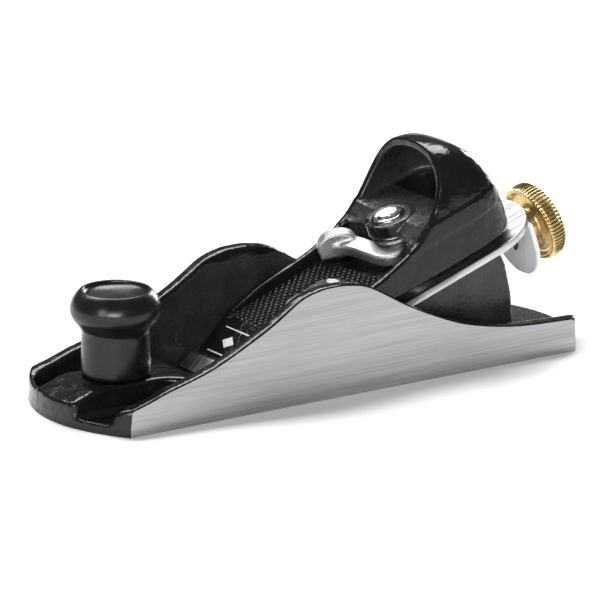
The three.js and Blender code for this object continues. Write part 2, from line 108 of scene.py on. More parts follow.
# ---- Outlines ----------------------------------------------------------------------------------
def arc(cx, cy, rx, ry, start, end, steps):
    """Points of an elliptical arc, angles in degrees."""
    angles = np.radians(np.linspace(start, end, steps + 1))
    return [(cx + rx * math.cos(a), cy + ry * math.sin(a)) for a in angles]


def spline(points, steps=6):
    """A smooth curve through the points (Catmull-Rom)."""
    p = np.array([points[0]] + list(points) + [points[-1]], float)
    curve = []
    for i in range(1, len(p) - 2):
        for t in np.arange(steps) / steps:
            a = -0.5 * t + t * t - 0.5 * t ** 3
            b = 1 - 2.5 * t * t + 1.5 * t ** 3
            c = 0.5 * t + 2 * t * t - 1.5 * t ** 3
            d = -0.5 * t * t + 0.5 * t ** 3
            curve.append(tuple(a * p[i - 1] + b * p[i] + c * p[i + 1] + d * p[i + 2]))
    curve.append(tuple(p[-2]))
    return curve


def rounded(corners, steps=5):
    """An open polyline whose corners (u, v, radius) are rounded off."""
    line = [corners[0][:2]]
    for before, corner, after in zip(corners, corners[1:], corners[2:]):
        here = Vector(corner[:2])
        to_before = Vector(before[:2]) - here
        to_after = Vector(after[:2]) - here
        angle = to_before.angle(to_after)
        reach = corner[2] / max(math.tan(angle / 2), 1e-6)
        reach = min(reach, 0.49 * to_before.length, 0.49 * to_after.length)
        first = here + reach * to_before.normalized()
        last = here + reach * to_after.normalized()
        for t in np.linspace(0, 1, steps + 1):
            point = first.lerp(here, t).lerp(here.lerp(last, t), t)
            line.append((point.x, point.y))
    line.append(corners[-1][:2])
    return line


# ---- Distance fields, in millimetres, negative inside ------------------------------------------
class Grid:
    """Sample points of a box. x, y and z broadcast against each other."""

    def __init__(self, lowest, highest, step):
        self.low = np.array(lowest, float)
        self.step = step
        self.axes = []
        for axis in range(3):
            count = int(math.ceil((highest[axis] - lowest[axis]) / step)) + 1
            shape = [1, 1, 1]
            shape[axis] = count
            values = lowest[axis] + step * np.arange(count)
            self.axes.append(values.reshape(shape))
        self.x, self.y, self.z = self.axes


def outline_field(outline, u, v):
    """Distance from (u, v) to a closed outline, negative inside it."""
    u, v = np.broadcast_arrays(u, v)
    nearest = np.full(u.shape, np.inf)
    inside = np.zeros(u.shape, bool)
    points = [tuple(p) for p in outline]
    for (ax, ay), (bx, by) in zip(points, points[1:] + points[:1]):
        ex = bx - ax
        ey = by - ay
        length = ex * ex + ey * ey
        if length < 1e-12:
            continue
        t = np.clip(((u - ax) * ex + (v - ay) * ey) / length, 0, 1)
        nearest = np.minimum(nearest, (u - ax - t * ex) ** 2 + (v - ay - t * ey) ** 2)
        if ay != by:
            crossing = (ay > v) != (by > v)
            inside ^= crossing & (u < ex * (v - ay) / ey + ax)
    return np.where(inside, -1.0, 1.0) * np.sqrt(nearest)


def path_field(path, u, v):
    """Distance from (u, v) to an open path."""
    nearest = np.inf
    for (ax, ay), (bx, by) in zip(path, path[1:]):
        ex = bx - ax
        ey = by - ay
        t = np.clip(((u - ax) * ex + (v - ay) * ey) / (ex * ex + ey * ey), 0, 1)
        nearest = np.minimum(nearest, np.hypot(u - ax - t * ex, v - ay - t * ey))
    return nearest


def merge(a, b, k):
    """Union with a cast fillet about k wide."""
    h = np.maximum(k - np.abs(a - b), 0) / k
    return np.minimum(a, b) - h * h * k / 4


def merge_cut(a, b, k):
    """Intersection with a soft blend about k wide."""
    return -merge(-a, -b, k)


def both(a, b, r):
    """Intersection whose edge is rounded to radius r."""
    outer = np.hypot(np.maximum(a + r, 0), np.maximum(b + r, 0)) - r
    return np.minimum(np.maximum(a, b), -r) + np.maximum(outer + r, 0)


def less(a, b, r):
    """a with b cut out of it, the edge rounded to radius r."""
    return both(a, -b, r)


def slab(v, start, end):
    return np.maximum(start - v, v - end)


def round_bar(u, v, cu, cv, radius):
    return np.hypot(u - cu, v - cv) - radius


def slot_field(u, v, start, end, radius):
    along = np.clip(u, start, end)
    return np.hypot(u - along, v) - radius


# ---- Skin of a field ---------------------------------------------------------------------------
CORNERS = list(product((0, 1), repeat=3))
EDGES = [(a, b) for a in range(8) for b in range(a + 1, 8)
         if sum(abs(p - q) for p, q in zip(CORNERS[a], CORNERS[b])) == 1]


def interpolate(values, points):
    """Trilinear value of the samples at points given in grid steps."""
    limit = np.array(values.shape) - 2
    cell = np.clip(np.floor(points).astype(int), 0, limit)
    f = points - cell
    total = 0
    for i, j, k in CORNERS:
        weight = ((f[:, 0] if i else 1 - f[:, 0]) * (f[:, 1] if j else 1 - f[:, 1])
                  * (f[:, 2] if k else 1 - f[:, 2]))
        total = total + weight * values[cell[:, 0] + i, cell[:, 1] + j, cell[:, 2] + k]
    return total


def settle(values, points, step):
    """Moves points onto the zero surface along the gradient."""
    start = points.copy()
    for _ in range(3):
        gradient = np.empty_like(points)
        for axis in range(3):
            shift = np.zeros(3)
            shift[axis] = 0.6
            rise = interpolate(values, points + shift) - interpolate(values, points - shift)
            gradient[:, axis] = rise / (1.2 * step)
        size = np.maximum((gradient ** 2).sum(1), 0.05)
        move = interpolate(values, points) / size / step
        points = points - gradient * move[:, None]
    away = np.clip(points - start, -0.6, 0.6)
    return start + away


def skin(values, grid):
    """Closed quads around the inside of a field (surface nets)."""
    values = np.ascontiguousarray(values, dtype=float)
    inside = values < 0
    n = np.array(values.shape) - 1
    count = sum(inside[i:i + n[0], j:j + n[1], k:k + n[2]].astype(np.int8) for i, j, k in CORNERS)
    cells = np.argwhere((count > 0) & (count < 8))
    number = np.full(n, -1)
    number[tuple(cells.T)] = np.arange(len(cells))
    at = np.array([values[cells[:, 0] + i, cells[:, 1] + j, cells[:, 2] + k] for i, j, k in CORNERS]).T
    total = np.zeros((len(cells), 3))
    crossings = np.zeros(len(cells))
    corner = np.array(CORNERS, float)
    for a, b in EDGES:
        hit = (at[:, a] < 0) != (at[:, b] < 0)
        t = np.where(hit, at[:, a] / np.where(hit, at[:, a] - at[:, b], 1), 0)
        total += np.where(hit[:, None], corner[a] + t[:, None] * (corner[b] - corner[a]), 0)
        crossings += hit
    points = settle(values, cells + total / crossings[:, None], grid.step)
    quads = []
    for axis in range(3):
        u, v = [(1, 2), (2, 0), (0, 1)][axis]
        ahead = np.roll(inside, -1, axis)
        change = inside != ahead
        change[tuple(slice(-1, None) if a == axis else slice(None) for a in range(3))] = False
        where = np.argwhere(change)
        where = where[(where[:, u] > 0) & (where[:, v] > 0) & (where[:, u] < n[u]) & (where[:, v] < n[v])]
        ring = []
        for du, dv in ((0, 0), (1, 0), (1, 1), (0, 1)):
            cell = where.copy()
            cell[:, u] -= du
            cell[:, v] -= dv
            ring.append(number[tuple(cell.T)])
        quad = np.array(ring).T
        leaving = inside[tuple(where.T)]
        quads.append(np.where(leaving[:, None], quad, quad[:, ::-1]))
    return grid.low + points * grid.step, np.concatenate(quads)


# ---- Meshes ------------------------------------------------------------------------------------
def add_object(name, verts, faces, matrix):
    mesh = bpy.data.meshes.new(name)
    mesh.from_pydata(np.asarray(verts).tolist(), [], [list(map(int, f)) for f in faces])
    mesh.transform(matrix)
    mesh.update()
    piece = bpy.data.objects.new(name, mesh)
    bpy.context.scene.collection.objects.link(piece)
    mesh.polygons.foreach_set("use_smooth", [True] * len(mesh.polygons))
    return piece


def cast(name, field, grid, matrix):
    verts, faces = skin(field, grid)
    return add_object(name, verts, faces, matrix)


def edit(piece, change):
    mesh = bmesh.new()
    mesh.from_mesh(piece.data)
    change(mesh)
    mesh.to_mesh(piece.data)
    mesh.free()
    piece.data.update()


def grind(piece, point, normal):
    """Cuts the piece off flat and closes it with a crisp face in the second material."""
    def change(mesh):
        everything = mesh.verts[:] + mesh.edges[:] + mesh.faces[:]
        cut = bmesh.ops.bisect_plane(mesh, geom=everything, plane_co=point, plane_no=normal,
                                     clear_outer=True, dist=1e-8)
        rim = [e for e in cut["geom_cut"] if isinstance(e, bmesh.types.BMEdge)]
        rim = [e for e in rim if e.is_valid and len(e.link_faces) == 1]
        filled = bmesh.ops.triangle_fill(mesh, edges=rim, use_beauty=True, normal=normal)
        for edge in rim:
            edge.smooth = False
        for face in filled["geom"]:
            if isinstance(face, bmesh.types.BMFace):
                face.smooth = False
                face.material_index = 1
                if face.normal.dot(Vector(normal)) < 0:
                    face.normal_flip()
    edit(piece, change)


def sharpen(piece, degrees):
    """Edges steeper than this are shaded crisp."""
    def change(mesh):
        for edge in mesh.edges:
            if len(edge.link_faces) == 2 and edge.calc_face_angle(0) > math.radians(degrees):
                edge.smooth = False
    edit(piece, change)


def turned(name, profile, matrix, sides=96, shape=None, closed=False):
    """A profile (radius, height) turned about the upright axis. shape may vary the radius."""
    angles = 2 * math.pi * np.arange(sides) / sides
    verts = []
    for radius, height in profile:
        for a in angles:
            r = shape(a, radius, height) if shape and radius > 1e-6 else radius
            verts.append((r * math.cos(a), r * math.sin(a), height))
    faces = []
    rings = len(profile)
    for i in range(rings if closed else rings - 1):
        j = (i + 1) % rings
        for k in range(sides):
            m = (k + 1) % sides
            faces.append((i * sides + k, i * sides + m, j * sides + m, j * sides + k))
    piece = add_object(name, verts, faces, matrix)

    def change(mesh):
        bmesh.ops.remove_doubles(mesh, verts=mesh.verts[:], dist=1e-7)
        bmesh.ops.dissolve_degenerate(mesh, edges=mesh.edges[:], dist=1e-8)
        bmesh.ops.recalc_face_normals(mesh, faces=mesh.faces[:])
    edit(piece, change)
    piece.data.polygons.foreach_set("use_smooth", [True] * len(piece.data.polygons))
    return piece


def plate(name, outline, holes, bottom, top, matrix, edge=0.15):
    """A flat plate with holes and slightly broken edges."""
    curve = bpy.data.curves.new(name, "CURVE")
    curve.dimensions = "2D"
    curve.fill_mode = "BOTH"
    curve.extrude = (top - bottom) / 2 - edge
    curve.bevel_depth = edge
    curve.bevel_resolution = 2
    curve.offset = -edge
    for loop in [outline] + holes:
        line = curve.splines.new("POLY")
        line.points.add(len(loop) - 1)
        for point, (u, v) in zip(line.points, loop):
            point.co = (u, v, 0, 1)
        line.use_cyclic_u = True
    source = bpy.data.objects.new(name + "_outline", curve)
    bpy.context.scene.collection.objects.link(source)
    graph = bpy.context.evaluated_depsgraph_get()
    mesh = bpy.data.meshes.new_from_object(source.evaluated_get(graph))
    bpy.data.objects.remove(source)
    mesh.transform(matrix @ Matrix.Translation((0, 0, (bottom + top) / 2)))
    mesh.name = name
    piece = bpy.data.objects.new(name, mesh)
    bpy.context.scene.collection.objects.link(piece)

    def change(bm):
        bmesh.ops.remove_doubles(bm, verts=bm.verts[:], dist=2e-6)
        bmesh.ops.recalc_face_normals(bm, faces=bm.faces[:])
    edit(piece, change)
    return piece


def box_object(lowest, highest, matrix):
    verts = [tuple(highest[a] if c[a] else lowest[a] for a in range(3)) for c in CORNERS]
    faces = [(0, 1, 3, 2), (4, 6, 7, 5), (0, 4, 5, 1), (2, 3, 7, 6), (0, 2, 6, 4), (1, 5, 7, 3)]
    return add_object("tool", verts, faces, matrix)


def carve(piece, lowest, highest, matrix):
    """Cuts a block out of the piece."""
    tool = box_object(lowest, highest, matrix)
    cutter = piece.modifiers.new("carve", "BOOLEAN")
    cutter.operation = "DIFFERENCE"
    cutter.solver = "EXACT"
    cutter.object = tool
    graph = bpy.context.evaluated_depsgraph_get()
    result = bpy.data.meshes.new_from_object(piece.evaluated_get(graph))
    piece.modifiers.clear()
    piece.data = result
    bpy.data.objects.remove(tool)


# ---- Materials ---------------------------------------------------------------------------------
class Look:
    """A Principled material built from nodes; scales are in features per metre."""

    def __init__(self, name, color, roughness, metallic=0.0, coat=0.0, specular=0.5):
        self.material = bpy.data.materials.new(name)
        self.material.use_nodes = True
        self.tree = self.material.node_tree
        self.shader = self.tree.nodes["Principled BSDF"]
        self.shader.inputs["Base Color"].default_value = (*color, 1)
        self.shader.inputs["Roughness"].default_value = roughness
        self.shader.inputs["Metallic"].default_value = metallic
        self.shader.inputs["Coat Weight"].default_value = coat
        self.shader.inputs["Coat Roughness"].default_value = 0.05
        self.shader.inputs["Specular IOR Level"].default_value = specular
        self.place = self.add("ShaderNodeTexCoord").outputs["Object"]
        self.normal = None

    def add(self, kind, **settings):
        node = self.tree.nodes.new(kind)
        for key, value in settings.items():
            setattr(node, key, value)
        return node

    def link(self, output, target):
        self.tree.links.new(output, target)

    def stretched(self, scale):
        mapping = self.add("ShaderNodeMapping")
        mapping.inputs["Scale"].default_value = scale
        self.link(self.place, mapping.inputs["Vector"])
        return mapping.outputs["Vector"]

    def noise(self, scale, detail=3.0, rough=0.55):
        """Noise with as many features per metre as scale says, one number or one an axis."""
        scale = scale if isinstance(scale, tuple) else (scale, scale, scale)
        node = self.add("ShaderNodeTexNoise")
        node.inputs["Scale"].default_value = 1.0
        node.inputs["Detail"].default_value = detail
        node.inputs["Roughness"].default_value = rough
        self.link(self.stretched(scale), node.inputs["Vector"])
        return node.outputs["Fac"]

    def span(self, value, start, end, first, last):
        node = self.add("ShaderNodeMapRange", clamp=True)
        self.link(value, node.inputs["Value"])
        for key, number in zip(("From Min", "From Max", "To Min", "To Max"), (start, end, first, last)):
            node.inputs[key].default_value = number
        return node.outputs["Result"]

    def math(self, operation, a, b):
        node = self.add("ShaderNodeMath", operation=operation)
        for slot, value in zip(node.inputs, (a, b)):
            if isinstance(value, (int, float)):
                slot.default_value = value
            else:
                self.link(value, slot)
        return node.outputs["Value"]

    def mix(self, factor, a, b):
        node = self.add("ShaderNodeMix", data_type="RGBA")
        self.link(factor, node.inputs["Factor"])
        for slot, value in zip((node.inputs[6], node.inputs[7]), (a, b)):
            if isinstance(value, tuple):
                slot.default_value = (*value, 1)
            else:
                self.link(value, slot)
        return node.outputs[2]

    def bump(self, height, strength, distance):
        node = self.add("ShaderNodeBump")
        node.inputs["Strength"].default_value = strength
        node.inputs["Distance"].default_value = distance
        self.link(height, node.inputs["Height"])
        if self.normal:
            self.link(self.normal, node.inputs["Normal"])
        self.normal = node.outputs["Normal"]
        self.link(self.normal, self.shader.inputs["Normal"])

    def edges(self, radius, start, end):
        """1 on edges rounder than radius, 0 elsewhere."""
        bevel = self.add("ShaderNodeBevel", samples=6)
        bevel.inputs["Radius"].default_value = radius
        geometry = self.add("ShaderNodeNewGeometry")
        dot = self.add("ShaderNodeVectorMath", operation="DOT_PRODUCT")
        self.link(bevel.outputs["Normal"], dot.inputs[0])
        self.link(geometry.outputs["Normal"], dot.inputs[1])
        return self.span(dot.outputs["Value"], start, end, 0, 1)

    def set(self, name, output):
        self.link(output, self.shader.inputs[name])


def black_enamel():
    """Thick glossy enamel over a cast surface: orange peel, soft pits, thin on the edges."""
    look = Look("black_enamel", (0.006, 0.0062, 0.0068), 0.16, specular=0.36)
    wear = look.edges(0.0007, 0.96, 0.72)
    patch = look.span(look.noise(160, 3), 0.35, 0.7, 0, 1)
    worn = look.math("MULTIPLY", wear, look.span(look.noise(900, 3), 0.3, 0.62, 0.15, 1))
    base = look.mix(patch, (0.0052, 0.0054, 0.006), (0.009, 0.0093, 0.0102))
    look.set("Base Color", look.mix(look.math("MULTIPLY", worn, 0.55), base, (0.12, 0.122, 0.125)))
    fine = look.span(look.noise(420, 2), 0.3, 0.7, 0.12, 0.22)
    look.set("Roughness", look.math("ADD", fine, look.math("MULTIPLY", worn, 0.2)))
    look.bump(look.noise(300, 3, 0.5), 0.7, 0.0005)
    look.bump(look.noise(1500, 3), 0.3, 0.00008)
    return look.material


def rough_casting():
    """Enamel thin over a sand-cast surface: grainy, dark, with a blue-grey base colour that is partly the
    thin paint's own tone and partly a painted sheen.
    """
    look = Look("rough_casting", (0.012, 0.0126, 0.0138), 0.42, specular=0.5)
    grain = look.noise(1100, 5, 0.62)
    patch = look.span(look.noise(120, 3), 0.3, 0.7, 0, 1)
    # random patches of dark blue-grey: partly the thin paint's own tone, partly a painted sheen
    look.set("Base Color", look.mix(patch, (0.016, 0.017, 0.0185), (0.034, 0.036, 0.039)))
    look.set("Roughness", look.span(grain, 0.3, 0.7, 0.18, 0.4))
    look.bump(look.noise(260, 3, 0.5), 0.5, 0.0005)
    look.bump(grain, 0.6, 0.00015)
    return look.material


def ground_steel():
    """Cheeks and sole off the surface grinder: fine lines along X and faint chatter."""
    look = Look("ground_steel", (0.52, 0.53, 0.54), 0.34, 1.0)
    lines = look.noise((30, 500, 2100), 5, 0.7)
    streak = look.noise((12, 60, 300), 4, 0.6)
    blotch = look.noise(70, 3)
    shade = look.math("ADD", look.math("MULTIPLY", lines, 0.55), look.math("MULTIPLY", streak, 0.45))
    tone = look.span(shade, 0.36, 0.66, 0, 1)
    base = look.mix(tone, (0.31, 0.317, 0.323), (0.55, 0.56, 0.57))
    look.set("Base Color", look.mix(look.span(blotch, 0.55, 0.75, 0, 0.3), base, (0.36, 0.36, 0.355)))
    look.set("Roughness", look.span(shade, 0.35, 0.65, 0.3, 0.46))
    look.bump(lines, 0.45, 0.00005)
    return look.material


def cutter_steel():
    """The cutter: lapped and brushed along its length, edges broken bright."""
    look = Look("cutter_steel", (0.6, 0.61, 0.62), 0.3, 1.0)
    lines = look.noise((60, 1400, 120), 4, 0.6)
    wear = look.edges(0.0004, 0.97, 0.75)
    base = look.mix(look.span(lines, 0.35, 0.65, 0, 1), (0.5, 0.508, 0.515), (0.68, 0.69, 0.7))
    look.set("Base Color", look.mix(wear, base, (0.85, 0.86, 0.87)))
    look.set("Roughness", look.span(lines, 0.35, 0.65, 0.26, 0.4))
    look.bump(lines, 0.25, 0.00003)
    return look.material


def bright_steel():
    """Polished plated steel with a faint ripple and fine scratches."""
    look = Look("bright_steel", (0.74, 0.75, 0.76), 0.14, 1.0)
    scratch = look.noise((900, 260, 260), 4, 0.6)
    look.set("Roughness", look.span(scratch, 0.35, 0.68, 0.08, 0.26))
    tone = look.span(look.noise(240, 3), 0.35, 0.65, 0, 1)
    look.set("Base Color", look.mix(tone, (0.66, 0.67, 0.68), (0.8, 0.81, 0.82)))
    look.bump(look.noise(300, 2), 0.3, 0.0001)
    look.bump(scratch, 0.15, 0.00002)
    return look.material


def plating_painted_reflection():
    """Plating on pressed sheet, drawn as a soft diffuse near-white that is a painted reflection of the bright
    floor, with faint rolling lines.
    """
    look = Look("plating_painted_reflection", (0.94, 0.94, 0.95), 0.34)
    lines = look.noise((300, 1500, 300), 4, 0.6)
    wear = look.edges(0.0004, 0.97, 0.75)
    # the near-white base, with metallic left at 0, is a painted reflection of the bright floor in the plating
    base = look.mix(look.span(lines, 0.3, 0.7, 0, 1), (0.85, 0.855, 0.865), (0.94, 0.945, 0.95))
    look.set("Base Color", look.mix(wear, base, (0.95, 0.95, 0.96)))
    look.set("Roughness", look.span(lines, 0.3, 0.7, 0.26, 0.4))
    look.bump(lines, 0.12, 0.00003)
    return look.material


def rough_nickel():
    """Nickel over a rough die casting, with file marks standing upright."""
    look = Look("rough_nickel", (0.5, 0.5, 0.495), 0.4, 1.0)
    grain = look.noise(2000, 4, 0.68)
    file_marks = look.noise((1500, 1500, 120), 3, 0.6)
    wear = look.edges(0.0006, 0.96, 0.7)
    tone = look.span(grain, 0.3, 0.7, 0, 1)
    base = look.mix(tone, (0.24, 0.24, 0.235), (0.66, 0.66, 0.65))
    look.set("Base Color", look.mix(wear, base, (0.76, 0.76, 0.75)))
    look.set("Roughness", look.span(grain, 0.3, 0.7, 0.24, 0.5))
    look.bump(file_marks, 0.6, 0.00012)
    look.bump(grain, 0.8, 0.00018)
    return look.material


def brass():
    """Turned brass: pale where it was polished on the edges, with a slow random tone."""
    look = Look("brass", (0.83, 0.63, 0.3), 0.24, 1.0)
    grain = look.noise(1300, 4)
    wear = look.edges(0.0005, 0.97, 0.75)
    tone = look.span(look.noise(260, 3), 0.35, 0.65, 0, 1)
    base = look.mix(tone, (0.62, 0.43, 0.185), (0.8, 0.6, 0.29))
    look.set("Base Color", look.mix(wear, base, (0.9, 0.74, 0.44)))
    look.set("Roughness", look.span(grain, 0.3, 0.7, 0.17, 0.36))
    look.bump(grain, 0.2, 0.00004)
    return look.material


def black_plastic():
    """Lacquered black knob: satin gloss with a slow ripple and fine dust marks."""
    look = Look("black_plastic", (0.007, 0.007, 0.0075), 0.12, specular=0.4)
    ripple = look.noise(180, 2)
    dust = look.span(look.noise(2600, 3), 0.62, 0.75, 0, 1)
    wear = look.edges(0.0006, 0.96, 0.7)
    base = look.mix(dust, (0.006, 0.006, 0.0065), (0.02, 0.02, 0.021))
    look.set("Base Color", look.mix(look.math("MULTIPLY", wear, 0.3), base, (0.06, 0.06, 0.06)))
    look.set("Roughness", look.span(ripple, 0.3, 0.7, 0.22, 0.34))
    look.bump(ripple, 0.25, 0.0002)
    look.bump(look.noise(1700, 3), 0.1, 0.00004)
    return look.material


def white_mark():
    """Thin white paint of the plain marks on the cap's nose."""
    look = Look("white_mark", (0.8, 0.8, 0.78), 0.4)
    wear = look.span(look.noise(2400, 3), 0.35, 0.55, 0, 1)
    look.set("Base Color", look.mix(wear, (0.45, 0.45, 0.44), (0.82, 0.82, 0.8)))
    look.set("Roughness", look.span(wear, 0, 1, 0.6, 0.35))
    look.bump(wear, 0.2, 0.00003)
    return look.material


def floor_paper():
    look = Look("floor_paper", (0.9, 0.9, 0.9), 0.8)
    tone = look.span(look.noise(3, 2), 0.3, 0.7, 0, 1)
    look.set("Base Color", look.mix(tone, (0.89, 0.89, 0.89), (0.93, 0.93, 0.93)))
    return look.material


ENAMEL = black_enamel()
CASTING = rough_casting()
GROUND = ground_steel()
CUTTER_STEEL = cutter_steel()
BRIGHT = bright_steel()
NICKEL = rough_nickel()
BRASS = brass()
PAINTED_REFLECTION_PLATING = plating_painted_reflection()
PLASTIC = black_plastic()
WHITE = white_mark()


def settle_piece(piece, body, slot, materials, *nodes):
    """Gives a piece its materials and its body and hides the CAD nodes that it stands for; slot is not used.
    """
    for material in materials:
        piece.data.materials.append(material)
    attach(piece, body)
    if nodes:
        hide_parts(*nodes)
    return piece


# ---- Body casting ------------------------------------------------------------------------------
OVER = 0.8                                  # stock that the grinder takes off each cheek
ARC_RADIUS = (HALF ** 2 + 10.0 ** 2) / 20.0
ARC_CENTRE = END - ARC_RADIUS
CHEEK_TOP = [(-66, 11.9), (-50, 16.4), (-31.6, 24.9), (-20.4, 31.7), (-14, 33.7), (-9.1, 34.2),
             (-3, 33.9), (5, 31.8), (19.4, 23.6), (34, 17), (43, 14.2), (52, 12.4), (62, 11.2), (79, 10.4)]
POCKET_FLOOR = 2.2
RIDGE_HALF = 10.2
RIDGE_TOP = 10.3
FROG_HALF = 13.0


def cheek_side():
    top = spline(CHEEK_TOP, 5)
    return [(86, -3), (-90, -3), (-90, 3.5), (-84.5, 5.6), (-79, 8), (-73, 9.6)] + top + [(86, 9.6)]


def ridge_plan():
    flare = [(-62, RIDGE_HALF), (-57, 10.9), (-53.5, 13.2), (-51.2, 17), (-49.6, 24), (-40, 24)]
    side = [(-95, RIDGE_HALF)] + spline(flare, 5)
    return side + [(x, -y) for x, y in reversed(side)]


def pocket_plan(side):
    front = 0.6 * (side > 0)
    corners = [(-70, 11.2, 0), (front - 86.6, 11.2, 1.6), (front - 82, 22, 4), (-58, 22, 4),
               (-57.5, 11.2, 4), (-70, 11.2, 0)]
    return [(x, side * y) for x, y in rounded(corners, 6)]


def body_field(g):
    x, y, z = g.axes
    side = np.abs(y)
    s = (x - BED.x) * COS + z * SIN
    h = -(x - BED.x) * SIN + z * COS
    plan = np.maximum(side - HALF - OVER,
                      np.hypot(np.maximum(np.abs(x) - ARC_CENTRE, 0), y) - ARC_RADIUS)
    body = both(plan, z - SOLE, 0.9)
    cheek = both(outline_field(cheek_side(), x, z), side - HALF - OVER, 1.9)
    cheek = both(both(cheek, INSIDE - side, 1.9), plan, 1.2)
    body = merge(body, cheek, 2.6)
    ridge_side = [(-95, -3), (-95, 6.4), (-89.2, 6.8), (-80.2, 9.9), (-77, RIDGE_TOP), (-48, RIDGE_TOP),
                  (-46, 8.6), (-41.4, -3)]
    ridge = both(outline_field(ridge_plan(), x, y), outline_field(ridge_side, x, z), 1.3)
    body = merge(body, both(ridge, plan, 1.2), 1.8)
    rim = np.maximum(both(plan, z - 6.9, 1.1), np.maximum(9 - y, x + 74))
    body = merge(body, rim + 0 * z, 1.2)
    for hand in (-1, 1):
        pocket = np.maximum(outline_field(pocket_plan(hand), x, y), POCKET_FLOOR - z)
        body = less(body, pocket, 0.8)
    ledge = np.maximum(slab(x, -34.3, -5), np.maximum(side - INSIDE - 1, h + 0.3))
    body = merge(body, ledge, 0.6)
    rear = [(59.9, 33), (63.4, 26), (65.5, 17), (66.3, 8), (66.3, -3), (-9, -3), (-9, 40), (56, 40)]
    web = both(np.maximum(outline_field(rear, x, z), side - FROG_HALF), h + 0.3, 0.25)
    body = merge(body, web, 2.2)
    well = [(-37.8, -3), (-34.3, -3), (-34.3, 0.35), (-20, 5.3), (-20, 9), (-37.8, 9)]
    throat = np.maximum(outline_field(well, x, z), side - INSIDE + 0.3)
    body = np.maximum(body, -throat)
    channel = np.maximum(np.maximum(slab(s, 66, 84), side - 8), -2.2 - h)
    feed_room = np.maximum(np.maximum(slab(s, 83, 112), side - 8), -14 - h)
    body = less(body, channel, 0.3)
    body = less(body, feed_room, 0.3)
    body = np.maximum(body, -np.maximum(round_bar(s, y, SCREW, 0, 3.3), -11 - h))
    body = np.maximum(body, -np.maximum(round_bar(s, y, LEVER_PIVOT, 0, 2.3), -12 - h))
    stud = np.maximum(round_bar(x, y, KNOB_X, 0, 3.3), 4 - z)
    return both(np.maximum(body, -stud), plan, 0.8)


def body_casting():
    grid = Grid((-END - 1.2, -HALF - 2, -2), (END + 1.2, HALF + 2, 36), 0.56)
    piece = cast("plane_body", body_field(grid), grid, PLANE_TO_ROW)
    grind(piece, (0, 0, 0), (0, 0, -1))
    grind(piece, (0, -HALF * MM, 0), (0, -1, 0))
    grind(piece, (0, HALF * MM, 0), (0, 1, 0))
    settle_piece(piece, "body", "enamel_black", [ENAMEL, GROUND, CASTING], "body_casting")
    inner = INSIDE * MM + 0.0003
    for face in piece.data.polygons:
        centre = face.center
        between_cheeks = abs(centre.y) < inner and centre.z < 0.031 and centre.x > -0.046
        if face.material_index == 0 and between_cheeks:
            face.material_index = 2
    return piece


# ---- Front knob --------------------------------------------------------------------------------
def front_knob():
    base = low("front_knob").z
    top = high("front_knob").z
    foot = rounded([(3.3, 0, 0), (10.3, 0, 1.3), (10.3, 5, 3)], 5)[:-1]
    neck = spline([(10.25, 3), (10.15, 7), (10.05, 10.5), (10, 12.6), (10.3, 13.8), (11.3, 15.4),
                   (12.5, 17), (13.15, 18.5), (13.3, 19.8), (13.15, 21.2), (12.5, 22.9),
                   (11.5, 24.4), (10.7, 25.2), (10.25, 25.48)], 6)
    crown = spline([(9.85, 25.5), (9.55, 25.3), (9.3, 24.75), (8.4, 24.1), (6, 23.5), (3, 23.2),
                    (0, 23.1)], 5)
    bore = [(0, 14), (3.3, 14), (3.3, 0)]
    profile = foot + neck + crown + bore
    scale = (top - base) / 25.5
    matrix = PLANE_TO_ROW @ Matrix.Translation((KNOB_X, 0, base)) @ Matrix.Scale(scale, 4, (0, 0, 1))
    piece = turned("knob_turning", profile, matrix, 128)
    sharpen(piece, 50)
    return settle_piece(piece, "body", "knob_black", [PLASTIC], "front_knob")


# ---- Cutter ------------------------------------------------------------------------------------
CUTTER_HALF = 20.65
CUTTER_THICK = 2.2
EDGE_S = 5.6
BEVEL = math.radians(25)


def cutter_blade():
    outline = [(EDGE_S - 2, -CUTTER_HALF)] + arc(98, 0, CUTTER_HALF, CUTTER_HALF, -90, 90, 48)
    outline += [(EDGE_S - 2, CUTTER_HALF)]
    keyhole = arc(66, 0, 6.6, 6.6, -137, 137, 30) + arc(34, 0, 4.5, 4.5, 90, 270, 16)
    holes = [keyhole]
    for step in range(-3, 4):
        s = 95.1 + 3.2 * step
        holes.append([(s - 0.9, -9), (s + 0.9, -9), (s + 0.9, 9), (s - 0.9, 9)])
    piece = plate("cutter_blade", outline, holes, 0, CUTTER_THICK, BED_TO_ROW, 0.14)
    point = BED_TO_ROW @ Vector((EDGE_S, 0, 0))
    slope = UP_SLOPE * -math.sin(BEVEL) + NORMAL * math.cos(BEVEL)

    def change(mesh):
        everything = mesh.verts[:] + mesh.edges[:] + mesh.faces[:]
        cut = bmesh.ops.bisect_plane(mesh, geom=everything, plane_co=point, plane_no=slope,
                                     clear_outer=True, dist=1e-8)
        rim = [e for e in cut["geom_cut"] if isinstance(e, bmesh.types.BMEdge)]
        bmesh.ops.triangle_fill(mesh, edges=[e for e in rim if len(e.link_faces) == 1], use_beauty=True)
        bmesh.ops.recalc_face_normals(mesh, faces=mesh.faces[:])
    edit(piece, change)
    return settle_piece(piece, "iron", "ground_steel", [CUTTER_STEEL], "cutter")


